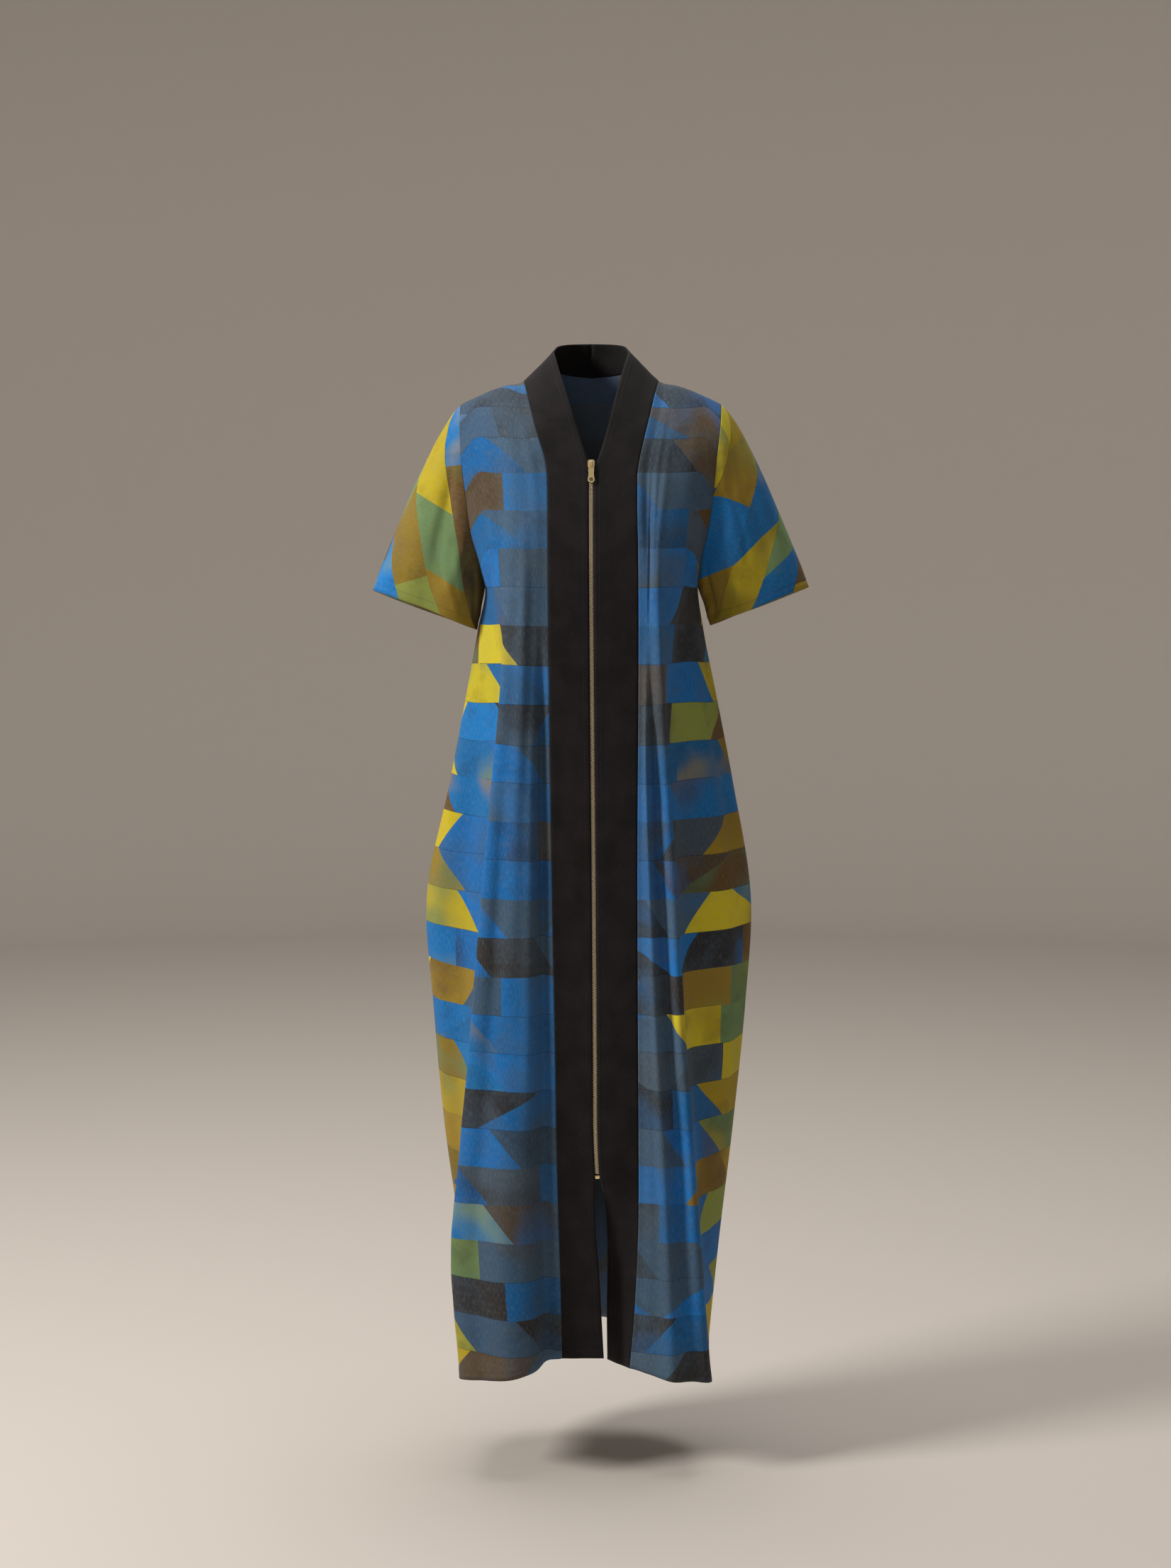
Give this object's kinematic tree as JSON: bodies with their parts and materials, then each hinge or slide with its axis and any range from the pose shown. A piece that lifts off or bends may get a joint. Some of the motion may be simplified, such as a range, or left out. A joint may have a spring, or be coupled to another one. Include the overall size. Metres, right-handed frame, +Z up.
{
  "type": "zip-front kaftan dress",
  "caption": "Long short-sleeved kaftan dress in its worn, hollow shape, with dark front bands, a centre-front zip, a V neck and an open slit at the hem.",
  "frame": {"origin": "midway between the two neck-side points, where the wearer's shoulders hold the dress", "axes": "+Z up; the front of the dress faces -Y; +X is the wearer's left"},
  "size_m": [0.5868, 0.2658, 1.392],
  "materials": {
    "print_cloth": "matt woven print",
    "sleeve_cloth": "matt woven print",
    "band_cloth": "matt plain weave",
    "zip_metal": "satin",
    "slider_metal": "polished"
  },
  "bodies": {
    "dress": {"front_right": "print_cloth", "front_left": "print_cloth", "back": "print_cloth", "sleeve_right": "sleeve_cloth", "sleeve_left": "sleeve_cloth", "band_right": "band_cloth", "band_left": "band_cloth", "zip_chain": "zip_metal", "zip_stop_bottom": "zip_metal", "zip_slider": "slider_metal"},
    "pull_tab": {"zip_pull_tab": "slider_metal"}
  },
  "joints": [
    {"name": "pull_tab_swing", "type": "hinge", "parent": "dress", "child": "pull_tab", "pos_m": [-0.00032, -0.10144, -0.15352], "axis": [-1, 0, 0], "range_deg": [0, 150]}
  ]
}
